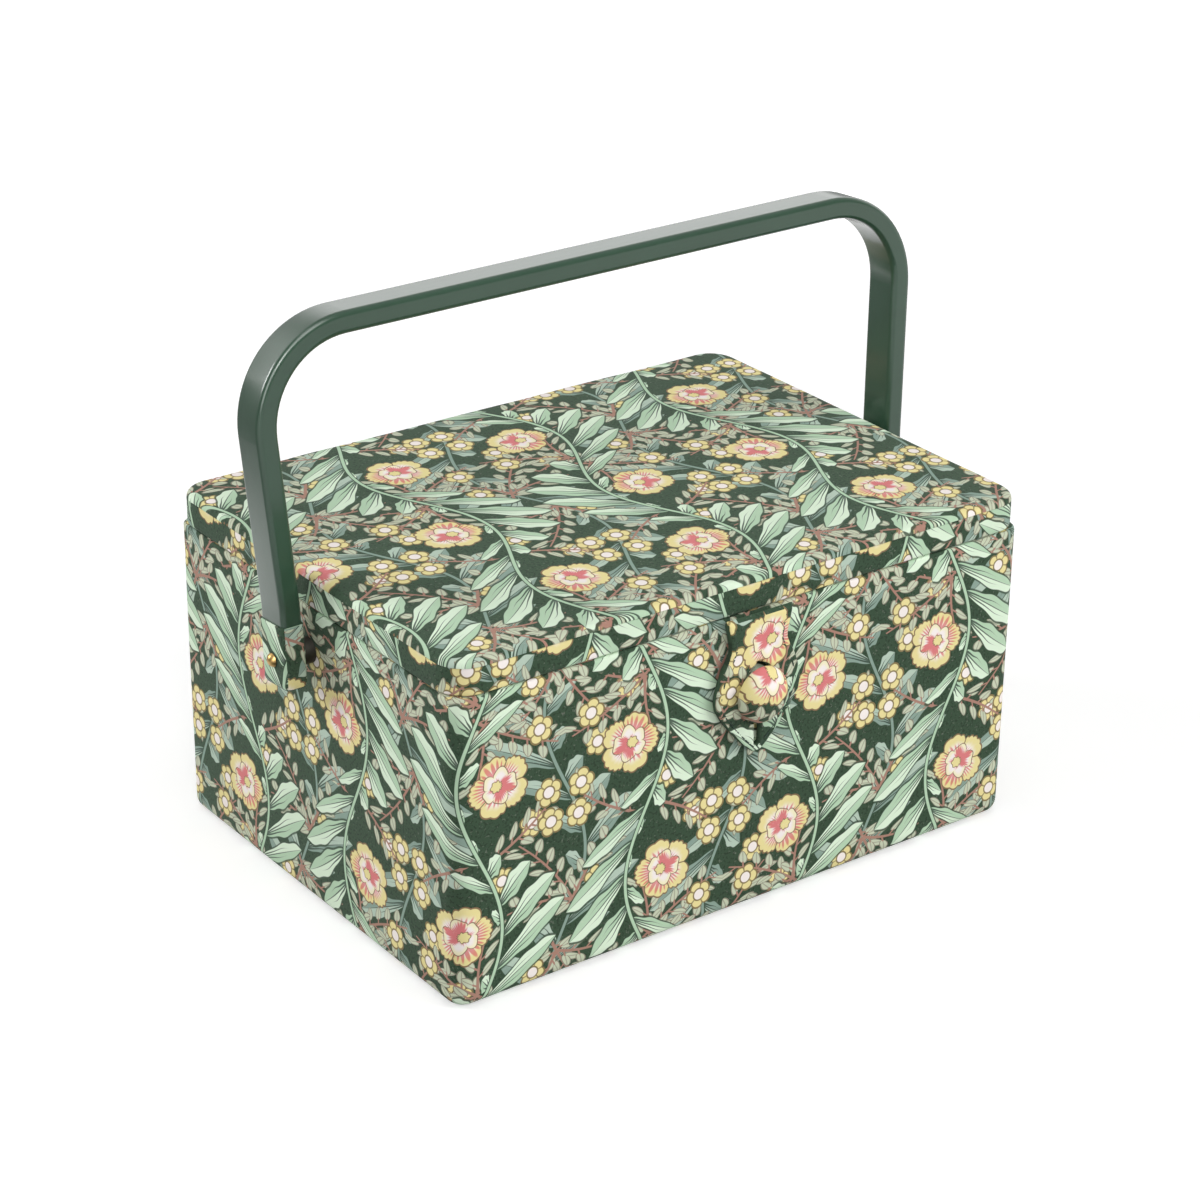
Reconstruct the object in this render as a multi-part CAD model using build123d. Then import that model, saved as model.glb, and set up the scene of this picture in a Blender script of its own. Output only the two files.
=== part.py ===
from build123d import *
import os

# Fabric-covered sewing box with a hinged lid, a bent wooden handle, a loop-and-button closure and a
# lift-out tray. Millimetres, +Z up, X along the long sides, the closure faces -Y. The origin is the
# middle of the underside.

# Body
box_length = 260.0
box_depth = 190.0
body_height = 123.0
body_corner = 7.5
base_edge = 5.4
cloth = 1.0
wall = 4.5
bottom_board_height = 4.0
hem_width = 20.0
hem_gap = 0.3
lining = 0.8
base_pad_height = 5.0
base_pad_gap = 0.4
base_pad_round = 2.0

# Lid
seam_gap = 0.4
lid_height = 13.1
lid_corner = 12.0
lid_edge = 2.4
lid_rim = 4.5
wadding_height = 2.5
lid_board_height = 3.0
lid_lining_height = 1.2
lid_lining_gap = 0.3

# Pincushion and pocket on the lid's lining
pincushion_length = 90.0
pincushion_depth = 70.0
pincushion_height = 9.0
pincushion_round = 4.0
pincushion_margin = 17.5
pocket_margin = 11.5
pocket_to_pincushion = 20.0
pocket_depth = 110.0
pocket_swell = 3.0
pocket_cloth = 0.8
elastic_width = 6.0
elastic_height = 0.8

# Hinge cloth over the back of the seam
hinge_cloth_thickness = 0.6
hinge_cloth_margin = 10.0
hinge_cloth_above = 11.0
hinge_cloth_below = 14.0

# Handle, with its pivot in the middle of the short walls
pivot_y = -1.3
pivot_drop = 16.6
handle_lean = 4.1
ear_gap = 5.7
leg_flare = 6.4
leg_straight = 20.0
flare_bend = 60.0
handle_reach = 120.3
handle_bend = 34.4
handle_width = 15.8
handle_thickness = 8.4
handle_round = 2.0
ear_cloth = 0.7
ear_below = 10.8
ear_above = 14.1

# Rivets
rivet_radius = 1.5
running_gap = 0.05
rivet_head_radius = 2.7
rivet_head_height = 1.9
rivet_tail_radius = 2.3
rivet_tail_height = 1.0
rivet_side_gap = 0.2
spacer_radius = 5.0
spacer_side_gap = 0.3
rivet_washer_radius = 4.5
rivet_washer_height = 0.8

# Button
button_drop = 31.5
button_radius = 11.0
button_crown = 6.8
button_edge = 1.2
stem_radius = 3.0
stem_gap = 0.1
button_washer_radius = 7.0
button_washer_height = 0.8
stem_tail_radius = 3.8
stem_tail_height = 0.8

# Closure loop
loop_gap = 0.6
loop_thickness = 3.0
loop_under_button = 0.3
loop_top_half = 15.0
loop_waist_half = 13.2
loop_waist_drop = 12.2
loop_shoulder_half = 17.6
loop_shoulder_drop = 21.85
loop_bulge_half = 19.8
loop_bulge_drop = 31.5
loop_flank_half = 12.3
loop_flank_drop = 45.0
loop_tip_half = 1.2
loop_drop = 56.0
loop_eye_half = 7.0
loop_eye_above = 12.0
loop_eye_below = 12.5
loop_slit_half = 0.7
loop_slit_end = 3.0
loop_round = 0.9

# Tray and the ledges that carry it
tray_gap = 2.6
tray_height = 30.0
tray_wall = 1.8
tray_corner = 4.0
tray_drop = 12.8
tray_seat_gap = 0.2
tray_notch_radius = 11.0
ledge_width = 7.0
ledge_height = 8.0
divider_thickness = 1.6
divider_gap = 0.3
divider_height = 24.0
long_divider_y = 22.0
short_dividers = 3

# Places worked out from the sizes above
half_length = box_length / 2
half_depth = box_depth / 2
inner_length = box_length - 2 * (cloth + wall)
inner_depth = box_depth - 2 * (cloth + wall)
lined_length = inner_length - 2 * lining
lined_depth = inner_depth - 2 * lining
floor_top = cloth + bottom_board_height
lid_low = body_height + seam_gap
lid_top = lid_low + lid_height
lid_board_top = lid_top - cloth - wadding_height
lid_board_low = lid_board_top - lid_board_height
lid_lining_low = lid_board_low - lid_lining_height
lid_hollow_length = box_length - 2 * (cloth + lid_rim)
lid_hollow_depth = box_depth - 2 * (cloth + lid_rim)
seam_z = body_height + seam_gap / 2
pivot_z = body_height - pivot_drop
ear_inner_x = half_length + ear_gap
leg_x = ear_inner_x + ear_cloth + handle_thickness / 2
ear_outer_x = leg_x + handle_thickness / 2 + ear_cloth
button_z = body_height - button_drop
button_back_y = -(half_depth + loop_gap + loop_thickness + loop_under_button)
pincushion_x = pincushion_margin + (pincushion_length - lid_hollow_length) / 2
pocket_length = lid_hollow_length - pincushion_margin - pincushion_length
pocket_length -= pocket_to_pincushion + pocket_margin
pocket_x = (lid_hollow_length - pocket_length) / 2 - pocket_margin
tray_floor_z = body_height - tray_drop - tray_height
spare = 10.0


def block(length, depth, low, high, x=0.0, y=0.0):
    """A plain block over z from low to high, centred on x and y."""
    align = (Align.CENTER, Align.CENTER, Align.MIN)
    return Pos(x, y, low) * Box(length, depth, high - low, align=align)


def rounded_block(length, depth, corner, low, high, x=0.0, y=0.0):
    """A block with rounded upright corners."""
    return Pos(x, y, low) * extrude(RectangleRounded(length, depth, corner), amount=high - low)


def rod_x(radius, x_from, x_to, y, z):
    """A round rod along X."""
    middle = (x_from + x_to) / 2
    return Pos(middle, y, z) * Rot(0, 90, 0) * Cylinder(radius, abs(x_to - x_from))


def rod_y(radius, y_from, y_to, x, z):
    """A round rod along Y."""
    middle = (y_from + y_to) / 2
    return Pos(x, middle, z) * Rot(90, 0, 0) * Cylinder(radius, abs(y_to - y_from))


def dome(radius, height):
    """The cap of a sphere, standing on the XY plane."""
    ball = (radius**2 + height**2) / (2 * height)
    return Pos(0, 0, height - ball) * Sphere(ball) & block(3 * ball, 3 * ball, 0, height + ball)


def body_form(inset):
    """The body's outside, drawn in by inset all round."""
    form = rounded_block(
        box_length - 2 * inset,
        box_depth - 2 * inset,
        body_corner - inset,
        inset,
        body_height - inset,
    )
    return fillet(form.edges().group_by(Axis.Z)[0], base_edge - inset)


def lid_form(inset):
    """The lid's outside, drawn in by inset all round."""
    form = rounded_block(
        box_length - 2 * inset,
        box_depth - 2 * inset,
        lid_corner - inset,
        lid_low + inset,
        lid_top - inset,
    )
    return fillet(form.edges().group_by(Axis.Z)[-1], lid_edge - inset)


def four_sides(ring, gap_length, gap_depth, low, high):
    """A ring cut into four boards: front and back run the whole length, left and right fit between."""
    outside = 2 * spare
    deep = (box_depth - gap_depth) / 2 + outside
    wide = (box_length - gap_length) / 2 + outside
    y_middle = (gap_depth + deep) / 2
    x_middle = (gap_length + wide) / 2
    return {
        "front": ring & block(box_length + outside, deep, low, high, 0, -y_middle),
        "back": ring & block(box_length + outside, deep, low, high, 0, y_middle),
        "left": ring & block(wide, gap_depth, low, high, -x_middle, 0),
        "right": ring & block(wide, gap_depth, low, high, x_middle, 0),
    }


def rivet_bore():
    """The hole for both rivets, right through the box from side to side."""
    reach = half_length + spare
    return rod_x(rivet_radius + running_gap, -reach, reach, pivot_y, pivot_z)


def button_bore():
    """The hole for the button's stem through the front wall."""
    return rod_y(stem_radius + stem_gap, -half_depth - spare, -lined_depth / 2 + spare, 0, button_z)


def body_boards():
    """The four walls and the bottom, as they are glued up under the cloth."""
    form = body_form(cloth)
    ring = form - block(inner_length, inner_depth, 0, body_height)
    walls = four_sides(ring, inner_length, inner_depth, 0, body_height)
    walls["front"] -= button_bore()
    walls["left"] -= rivet_bore()
    walls["right"] -= rivet_bore()
    nodes = {f"{side}_wall": board for side, board in walls.items()}
    nodes["bottom_board"] = form & block(inner_length, inner_depth, cloth, floor_top)
    return nodes


def body_cloths():
    """The printed cover with its hems, the cloth under the base and the lining."""
    cover = body_form(0) - body_form(cloth)
    cover -= block(inner_length, inner_depth, floor_top, body_height)
    hem_length = box_length - 2 * (base_edge + hem_width)
    hem_depth = box_depth - 2 * (base_edge + hem_width)
    cover -= block(hem_length, hem_depth, 0, cloth)
    cover -= rivet_bore()
    cover -= button_bore()
    base_cloth = block(hem_length - 2 * hem_gap, hem_depth - 2 * hem_gap, 0, cloth)
    wall_lining = block(inner_length, inner_depth, floor_top, body_height)
    wall_lining -= block(lined_length, lined_depth, floor_top, body_height)
    wall_lining -= rivet_bore()
    wall_lining -= button_bore()
    pad_length = lined_length - 2 * base_pad_gap
    pad_depth = lined_depth - 2 * base_pad_gap
    base_pad = block(pad_length, pad_depth, floor_top, floor_top + base_pad_height)
    base_pad = fillet(base_pad.edges().group_by(Axis.Z)[-1], base_pad_round)
    return {
        "body_cover": cover,
        "base_cloth": base_cloth,
        "wall_lining": wall_lining,
        "base_pad": base_pad,
    }


def tray_ledges():
    """A batten on each short wall that the tray's ends rest on."""
    top = tray_floor_z - tray_seat_gap
    x_middle = (lined_length - ledge_width) / 2
    ledge = block(ledge_width, lined_depth, top - ledge_height, top)
    return {
        "tray_ledge_left": Pos(-x_middle, 0, 0) * ledge,
        "tray_ledge_right": Pos(x_middle, 0, 0) * ledge,
    }


def button():
    """A cloth-covered dome on a stem that is held by a washer inside the front wall."""
    edge_front = button_back_y - button_edge
    cap = Pos(0, edge_front, button_z) * Rot(90, 0, 0) * dome(button_radius, button_crown)
    cap += rod_y(button_radius, button_back_y, edge_front, 0, button_z)
    washer_back = -lined_depth / 2
    washer_front = washer_back + button_washer_height
    washer = rod_y(button_washer_radius, washer_back, washer_front, 0, button_z)
    washer -= rod_y(stem_radius + stem_gap, washer_back, washer_front, 0, button_z)
    tail_end = washer_front + stem_tail_height
    stem = rod_y(stem_radius, button_back_y, washer_front, 0, button_z)
    stem += rod_y(stem_tail_radius, washer_front, tail_end, 0, button_z)
    return {"button_dome": cap, "button_stem": stem, "button_washer": washer}


def hinge_cloth():
    """The strip of cloth glued over the back of the seam, which is the lid's only hinge."""
    low = seam_z - hinge_cloth_below
    high = seam_z + hinge_cloth_above
    length = box_length - 2 * (lid_corner + hinge_cloth_margin)
    y_middle = half_depth + hinge_cloth_thickness / 2
    return {"hinge_cloth": block(length, hinge_cloth_thickness, low, high, 0, y_middle)}


def rivets():
    """A domed rivet, a spacer and a washer for each end of the handle, left then right."""
    head_x = ear_outer_x + rivet_side_gap
    washer_x = lined_length / 2
    washer_end = washer_x - rivet_washer_height
    shank = rod_x(rivet_radius, washer_end, head_x, 0, 0)
    head = Pos(head_x, 0, 0) * Rot(0, 90, 0) * dome(rivet_head_radius, rivet_head_height)
    tail = rod_x(rivet_tail_radius, washer_end - rivet_tail_height, washer_end, 0, 0)
    hole = rod_x(rivet_radius + running_gap, 0, head_x, 0, 0)
    spacer_from = half_length + spacer_side_gap
    spacer_to = ear_inner_x - spacer_side_gap
    pieces = {
        "rivet": shank + head + tail,
        "spacer": rod_x(spacer_radius, spacer_from, spacer_to, 0, 0) - hole,
        "rivet_washer": rod_x(rivet_washer_radius, washer_end, washer_x, 0, 0) - hole,
    }
    nodes = {}
    for name, piece in pieces.items():
        nodes[f"{name}_left"] = Pos(0, pivot_y, pivot_z) * mirror(piece, about=Plane.YZ)
        nodes[f"{name}_right"] = Pos(0, pivot_y, pivot_z) * piece
    return nodes


def handle():
    """The bent wooden bow and its two cloth-wrapped ears, leaning back a little on the rivets."""
    foot = ear_cloth - ear_below
    top_x = leg_x + leg_flare
    path = FilletPolyline(
        (-leg_x, 0, foot),
        (-leg_x, 0, leg_straight),
        (-top_x, 0, handle_reach),
        (top_x, 0, handle_reach),
        (leg_x, 0, leg_straight),
        (leg_x, 0, foot),
        radius=[flare_bend, handle_bend, handle_bend, flare_bend],
    )
    start = Plane(origin=path @ 0, x_dir=(0, 1, 0), z_dir=path % 0)
    bow = sweep(start * RectangleRounded(handle_width, handle_thickness, handle_round), path=path)
    bore = rod_x(rivet_radius + running_gap, -ear_outer_x - spare, ear_outer_x + spare, 0, 0)
    bow -= bore
    ear_block = rounded_block(
        handle_thickness + 2 * ear_cloth,
        handle_width + 2 * ear_cloth,
        handle_round + ear_cloth,
        -ear_below,
        ear_above,
    )
    place = Pos(0, pivot_y, pivot_z) * Rot(-handle_lean, 0, 0)
    nodes = {"handle_bow": place * bow}
    for side, x in (("left", -leg_x), ("right", leg_x)):
        nodes[f"handle_ear_{side}"] = place * (Pos(x, 0, 0) * ear_block - bow - bore)
    return nodes


def lid_boards():
    """The lid's top board and the four rim boards under it."""
    form = lid_form(cloth)
    ring = form & block(box_length, box_depth, lid_low, lid_board_low)
    ring -= block(lid_hollow_length, lid_hollow_depth, lid_low, lid_board_low)
    rims = four_sides(ring, lid_hollow_length, lid_hollow_depth, lid_low, lid_board_low)
    nodes = {f"lid_rim_{side}": board for side, board in rims.items()}
    nodes["lid_board"] = form & block(box_length, box_depth, lid_board_low, lid_board_top)
    return nodes


def lid_cloths():
    """The wadding, the printed cover turned under the rim, and the lined card inside."""
    form = lid_form(cloth)
    wadding = form & block(box_length, box_depth, lid_board_top, lid_top)
    cover = lid_form(0) - form
    cover -= block(lid_hollow_length, lid_hollow_depth, lid_low, lid_low + cloth)
    card = block(
        lid_hollow_length - 2 * lid_lining_gap,
        lid_hollow_depth - 2 * lid_lining_gap,
        lid_lining_low,
        lid_board_low,
    )
    return {"lid_wadding": wadding, "lid_cover": cover, "lid_lining": card}


def lid_fittings():
    """The pincushion and the elasticated pocket on the lid's lining."""
    cushion_low = lid_lining_low - pincushion_height
    cushion = rounded_block(
        pincushion_length,
        pincushion_depth,
        pincushion_height,
        cushion_low,
        lid_lining_low,
        pincushion_x,
    )
    cushion = fillet(cushion.edges().group_by(Axis.Z)[0], pincushion_round)
    sheet_low = lid_lining_low - pocket_swell
    pocket = block(pocket_length, pocket_depth, sheet_low, lid_lining_low, pocket_x)
    pocket -= block(
        pocket_length - 2 * pocket_cloth,
        pocket_depth,
        sheet_low + pocket_cloth,
        lid_lining_low,
        pocket_x,
        -pocket_cloth,
    )
    mouth_y = -pocket_depth / 2 + elastic_width / 2
    elastic = block(
        pocket_length, elastic_width, sheet_low - elastic_height, sheet_low, pocket_x, mouth_y
    )
    return {"pincushion": cushion, "lid_pocket": pocket, "pocket_elastic": elastic}


def closure_loop():
    """The doubled strip of printed cloth that hangs from the lid and parts round the button's stem."""
    waist = (loop_waist_half, -loop_waist_drop)
    shoulder = (loop_shoulder_half, -loop_shoulder_drop)
    bulge = (loop_bulge_half, -loop_bulge_drop)
    flank = (loop_flank_half, -loop_flank_drop)
    tip = -loop_drop
    right = [
        Line((loop_top_half, 0), waist),
        ThreePointArc(waist, shoulder, bulge),
        ThreePointArc(bulge, flank, (loop_tip_half, tip)),
    ]
    left = [mirror(line, about=Plane.YZ) for line in right]
    top = Line((-loop_top_half, 0), (loop_top_half, 0))
    bottom = Line((-loop_tip_half, tip), (loop_tip_half, tip))
    outline = make_face(Curve() + [top, *right, bottom, *left])
    eye_z = button_z - seam_z
    eye_top = eye_z + loop_eye_above
    eye_low = eye_z - loop_eye_below
    eye_lines = [
        ThreePointArc((-loop_eye_half, eye_z), (0, eye_top), (loop_eye_half, eye_z)),
        Line((loop_eye_half, eye_z), (loop_slit_half, eye_low)),
        Line((loop_slit_half, eye_low), (loop_slit_half, tip + loop_slit_end)),
        Line((loop_slit_half, tip + loop_slit_end), (-loop_slit_half, tip + loop_slit_end)),
        Line((-loop_slit_half, tip + loop_slit_end), (-loop_slit_half, eye_low)),
        Line((-loop_slit_half, eye_low), (-loop_eye_half, eye_z)),
    ]
    eye = make_face(Curve() + eye_lines)
    plate = extrude(outline - eye, amount=loop_thickness)
    front_edges = plate.faces().sort_by(Axis.Z)[-1].outer_wire().edges()
    plate = fillet(front_edges, loop_round)
    place = Pos(0, -half_depth - loop_gap, seam_z) * Rot(90, 0, 0)
    return {"closure_loop": place * plate}


def tray():
    """The moulded tray with finger notches in its ends, and its slot-in dividers."""
    length = lined_length - 2 * tray_gap
    depth = lined_depth - 2 * tray_gap
    floor = tray_floor_z + tray_wall
    top = tray_floor_z + tray_height
    hollow_length = length - 2 * tray_wall
    hollow_depth = depth - 2 * tray_wall
    shell = rounded_block(length, depth, tray_corner, tray_floor_z, top)
    shell -= rounded_block(hollow_length, hollow_depth, tray_corner - tray_wall, floor, top)
    shell -= rod_x(tray_notch_radius, -length, length, 0, top)
    nodes = {"tray_shell": shell}
    divider_top = floor + divider_height
    long_length = hollow_length - 2 * divider_gap
    nodes["tray_divider_long"] = block(
        long_length, divider_thickness, floor, divider_top, 0, long_divider_y
    )
    front = -hollow_depth / 2 + divider_gap
    back = long_divider_y - divider_thickness / 2 - divider_gap
    spacing = hollow_length / (short_dividers + 1)
    for number in range(1, short_dividers + 1):
        x = number * spacing - hollow_length / 2
        nodes[f"tray_divider_short_{number}"] = block(
            divider_thickness, back - front, floor, divider_top, x, (front + back) / 2
        )
    return nodes


os.makedirs("parts", exist_ok=True)
sections = (
    body_boards,
    body_cloths,
    tray_ledges,
    button,
    hinge_cloth,
    rivets,
    handle,
    lid_boards,
    lid_cloths,
    lid_fittings,
    closure_loop,
    tray,
)
for section in sections:
    for name, shape in section().items():
        export_step(shape, f"parts/{name}.step")
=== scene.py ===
"""Sewing box: cloth covers, closure, cushion, pocket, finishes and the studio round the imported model."""
import math
from functools import partial, partialmethod

import bmesh
import bpy
from mathutils import Matrix, Vector


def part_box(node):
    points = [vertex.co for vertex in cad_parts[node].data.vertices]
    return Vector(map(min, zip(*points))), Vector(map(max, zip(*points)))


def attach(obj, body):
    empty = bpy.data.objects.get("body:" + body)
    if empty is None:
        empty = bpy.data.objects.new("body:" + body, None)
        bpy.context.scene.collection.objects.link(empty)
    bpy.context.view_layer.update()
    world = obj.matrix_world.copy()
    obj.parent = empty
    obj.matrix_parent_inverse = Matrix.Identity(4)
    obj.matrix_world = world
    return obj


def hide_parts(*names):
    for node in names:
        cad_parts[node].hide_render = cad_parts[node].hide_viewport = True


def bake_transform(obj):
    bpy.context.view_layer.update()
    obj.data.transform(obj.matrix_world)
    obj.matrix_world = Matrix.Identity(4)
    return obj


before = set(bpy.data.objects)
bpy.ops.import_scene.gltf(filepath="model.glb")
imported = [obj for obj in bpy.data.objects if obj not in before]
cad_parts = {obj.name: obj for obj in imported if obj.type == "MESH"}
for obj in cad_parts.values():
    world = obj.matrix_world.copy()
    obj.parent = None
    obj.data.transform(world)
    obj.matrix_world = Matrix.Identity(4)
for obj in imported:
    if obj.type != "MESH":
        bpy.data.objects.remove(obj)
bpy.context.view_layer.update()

bl_info = {
    "name": "Sewing box",
    "version": (1, 0, 0),
    "blender": (4, 5, 0),
    "location": "3D View > Sidebar > Sewing box",
    "description": "Covers, lines and finishes a cloth-covered sewing box",
    "category": "Add Mesh",
}

MM = 0.001
PI = math.pi
# A corner this near a place, in millimetres, counts as there
NEAR = 0.02

# The print's winding stems: width of a column, length of a full bend and how far the stem sways
COLUMN, BEND, SWAY = 72.0, 116.0, 9.0
# Where the edges of printed shapes start and end to fade, in millimetres
SHAPE, LINE, STEM, VEIN, LEAF = (0, 0.2), (-0.05, 0.15), (-0.1, 0.1), (-0.08, 0.1), (-0.1, 0.12)

# The closure loop: heights of its seam, eye, slit and tip, and half widths of its eye and slit
SEAM, EYE_TOP, EYE_WIDE, EYE_LOW, SLIT_LOW, TIP = 123.2, 103.5, 91.5, 79.0, 70.2, 67.2
EYE, SLIT = 7.0, 1.15
# Its half widths at heights, from the seam to the tip
LOOP_OUTLINE = (
    (123.2, 15.0), (121.0, 14.9), (117.0, 14.0), (113.5, 13.3), (110.5, 13.2), (107.0, 14.6),
    (103.5, 16.6), (99.0, 18.4), (94.5, 19.6), (91.7, 19.8), (88.5, 19.1), (84.5, 16.9),
    (80.0, 13.6), (75.0, 9.4), (71.0, 5.7), (68.4, 2.7), (67.2, 1.0))
# Its stitches lie this far inside its edge, a distance that its lean shortens to this share
STITCH_IN, LEAN = 2.3, 0.86
# Highest and lowest stitches
STITCH_TOP, STITCH_LOW = 121.4, 69.5


class Value:
    """A socket that can be reckoned with: each sum or product of it adds a Math node."""

    def __init__(self, finish, socket):
        self.finish, self.socket = finish, socket

    def before(self, operation, other):
        return maths(operation, self, other)

    def after(self, operation, other):
        return maths(operation, other, self)

    __add__ = __radd__ = partialmethod(before, "ADD")
    __sub__, __rsub__ = partialmethod(before, "SUBTRACT"), partialmethod(after, "SUBTRACT")
    __mul__ = __rmul__ = partialmethod(before, "MULTIPLY")
    __truediv__, __rtruediv__ = partialmethod(before, "DIVIDE"), partialmethod(after, "DIVIDE")
    __lt__, __gt__ = partialmethod(before, "LESS_THAN"), partialmethod(before, "GREATER_THAN")


def maths(operation, *terms):
    finish = next(term.finish for term in terms if isinstance(term, Value))
    return finish.node("ShaderNodeMath", {"operation": operation}, dict(enumerate(terms)))


sin, cos, sqrt, floor, fract, absolute, power, least, most, angle = (partial(maths, kind) for kind in (
    "SINE", "COSINE", "SQRT", "FLOOR", "FRACT", "ABSOLUTE", "POWER", "MINIMUM", "MAXIMUM", "ARCTAN2"))


def rise(x, low, high):
    """0 below low, 1 above high, and a smooth slope between."""
    return x.finish.node("ShaderNodeMapRange", {"interpolation_type": "SMOOTHSTEP"},
                         {"Value": x, "From Min": low, "From Max": high})


def mix(share, first, second):
    """Two colours, mixed by a share from 0 to 1."""
    finish = next(t.finish for t in (share, first, second) if isinstance(t, Value))
    return finish.node("ShaderNodeMix", {"data_type": "RGBA"}, {0: share, 6: first, 7: second}, out=2)


class Finish:
    """The nodes of a new material, or of the world where that is given."""

    def __init__(self, name, owner=None):
        self.owner = owner or bpy.data.materials.new(name)
        self.owner.use_nodes = True
        self.tree = self.owner.node_tree
        self.tree.nodes.clear()

    def node(self, kind, settings=(), sockets=(), out=0):
        """Adds a node, and gives its output of that name or number, or a list of them."""
        made = self.tree.nodes.new(kind)
        for key, value in dict(settings).items():
            setattr(made, key, value)
        for key, value in dict(sockets).items():
            if isinstance(value, Value):
                self.tree.links.new(value.socket, made.inputs[key])
            else:
                made.inputs[key].default_value = value
        if isinstance(out, tuple):
            return [Value(self, made.outputs[one]) for one in out]
        return Value(self, made.outputs[out])

    def place(self):
        """Object coordinates, in metres."""
        return self.node("ShaderNodeTexCoord", out="Object")

    def apart(self, vector):
        """A vector's three numbers."""
        return self.node("ShaderNodeSeparateXYZ", sockets={0: vector}, out=(0, 1, 2))

    def cloth_place(self):
        """How far along and up the cloth, in millimetres."""
        u, v, _ = self.apart(self.node("ShaderNodeUVMap", {"uv_map": "Cloth"}))
        return u * 1000, v * 1000

    def rays(self):
        """Whether a ray comes from the camera, and whether from a reflection."""
        return self.node("ShaderNodeLightPath", out=("Is Camera Ray", "Is Glossy Ray"))

    def noise(self, place, scale, detail=2.0, roughness=0.5, stretch=None):
        if stretch:
            place = self.node("ShaderNodeMapping", sockets={"Vector": place, "Scale": stretch})
        return self.node("ShaderNodeTexNoise", sockets={
            "Vector": place, "Scale": scale, "Detail": detail, "Roughness": roughness})

    def bump(self, height, distance, strength=1.0):
        return self.node("ShaderNodeBump", sockets={
            "Height": height, "Distance": distance, "Strength": strength})

    def surface(self, **sockets):
        """The shader, its sockets given by name with _ for a space."""
        named = {key.replace("_", " "): value for key, value in sockets.items()}
        shader = self.node("ShaderNodeBsdfPrincipled", sockets=named)
        self.node("ShaderNodeOutputMaterial", sockets={"Surface": shader}, out=())
        return self.owner


def grey(level):
    return (level, level, level, 1.0)


def colour(text):
    """A colour as written on a colour card, #rrggbb, in linear light."""
    parts = [int(text[i:i + 2], 16) / 255 for i in (1, 3, 5)]
    return tuple(p / 12.92 if p <= 0.04045 else ((p + 0.055) / 1.055) ** 2.4 for p in parts) + (1.0,)


# The printed cotton: winding stems with leaves, sprigs, small flowers and larger blooms, in millimetres


def turned(x, y, degrees):
    c, s = math.cos(math.radians(degrees)), math.sin(math.radians(degrees))
    return x * c + y * s, y * c - x * s


def row_of_bends(u, v, u0, v0):
    """The place across and along a column's winding stem, and the place in each bend."""
    a = (u - u0) / COLUMN
    column = floor(a)
    across = (a - column - 0.5) * COLUMN
    along = v * (1 - 4 * fract(column / 2)) - v0
    b = along / (BEND / 2)
    row = floor(b)
    flip = 1 - 4 * fract(row / 2)
    return (across, along), across * flip, (b - row - 0.5) * (BEND / 2) * flip


def leaf_marks(f, d, length, half_width):
    """A lance leaf: its shape, the dark rim round it, and its rib and strokes."""
    q = d / length
    inside = most(q * (1 - q), 0)
    width = (half_width * 3.05) * sqrt(inside) * sqrt(most(1 - q, 0)) * (0.35 + q) * (1 + 0.10 * sin(q * 17))
    off = absolute(f)
    over = width - off
    leaf = rise(over, *LEAF) * (inside > 0.0001)
    rim = rise(over, -0.95, -0.45) * (inside > 0.00001)
    rib = rise(0.30 - 0.26 * q - off, *VEIN)
    stroke = rise(0.44 - 0.72 * q - absolute(off - 0.46 * width), *VEIN)
    return leaf, rim, most(rib, stroke)


def lay_vine(ground, at, name, tones, gap, reach, half_width, slant, uneven):
    """A winding stem with leaves on both sides, longer on the outside of each bend."""
    across, along = at
    wave = along * (2 * PI / BEND)
    steep = cos(wave) * (SWAY * 2 * PI / BEND)
    c = (across - SWAY * sin(wave)) / sqrt(1 + steep * steep)
    side = 1 - 2 * (c < 0)
    d = absolute(c)
    t = along - slant * d + 0.008 * d * d + (side + 1) * (0.25 * gap)
    middle = (floor(t / gap) + 0.5) * gap
    f = (t - middle) / math.sqrt(1 + slant * slant)
    out = 1 - uneven + uneven * sin(middle * (2 * PI / BEND) + 0.5) * side
    leaf, rim, marks = leaf_marks(f, d, reach * out, half_width * (0.55 + 0.45 * out))
    tone = mix(rise(f, -0.5, 0.5), tones[name], tones[name + "_light"])
    tone = mix(marks * 0.9, tone, tones[name + "_line"])
    ground = mix(leaf, mix(rim * 0.9, ground, tones["ground"]), tone)
    ground = mix(rise(1.05 - d, *STEM) * 0.9, ground, tones["ground"])
    return mix(rise(0.62 - d, *STEM), ground, tones[name])


def lay_sprig(ground, x, y, bend, long, tones):
    """A thin bent stem with small paired leaves."""
    gap, foot, reach, half_width, slant = 6.6, 1.7, 4.8, 1.7, 0.75
    p = y / long
    c = x - bend * p * p
    steep = p * (2 * bend / long)
    c = c / sqrt(1 + steep * steep)
    d = absolute(c)
    t = y - slant * d - (c < 0) * (0.5 * gap) + 0.5 * gap
    middle = (floor(t / gap) + 0.5) * gap
    f = absolute(t - middle) / math.sqrt(1 + slant * slant)
    on = (middle > 0) * (middle < long)
    q = (d - foot) / reach
    inside = most(q * (1 - q), 0)
    width = (half_width * 2.0) * sqrt(inside) * (1.25 - 0.55 * q)
    leaf = rise(width - f, *STEM) * on * (inside > 0.0001)
    ground = mix(leaf, ground, tones["bud"])
    edge = rise(f - width + 0.42, *SHAPE) * 0.8
    ground = mix(leaf * most(edge, rise(0.20 - f, -0.05, 0.1) * 0.5), ground, tones["bud_line"])
    stalk = rise(0.34 - f, *STEM) * rise(2.3 - d, *SHAPE) * on
    stem = rise(0.66 - 0.34 * p - d, *LEAF) * rise(y, -0.2, 0.2) * rise(long * 1.05 - y, 0, 0.4)
    return mix(most(stalk, stem), ground, tones["twig"])


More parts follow.
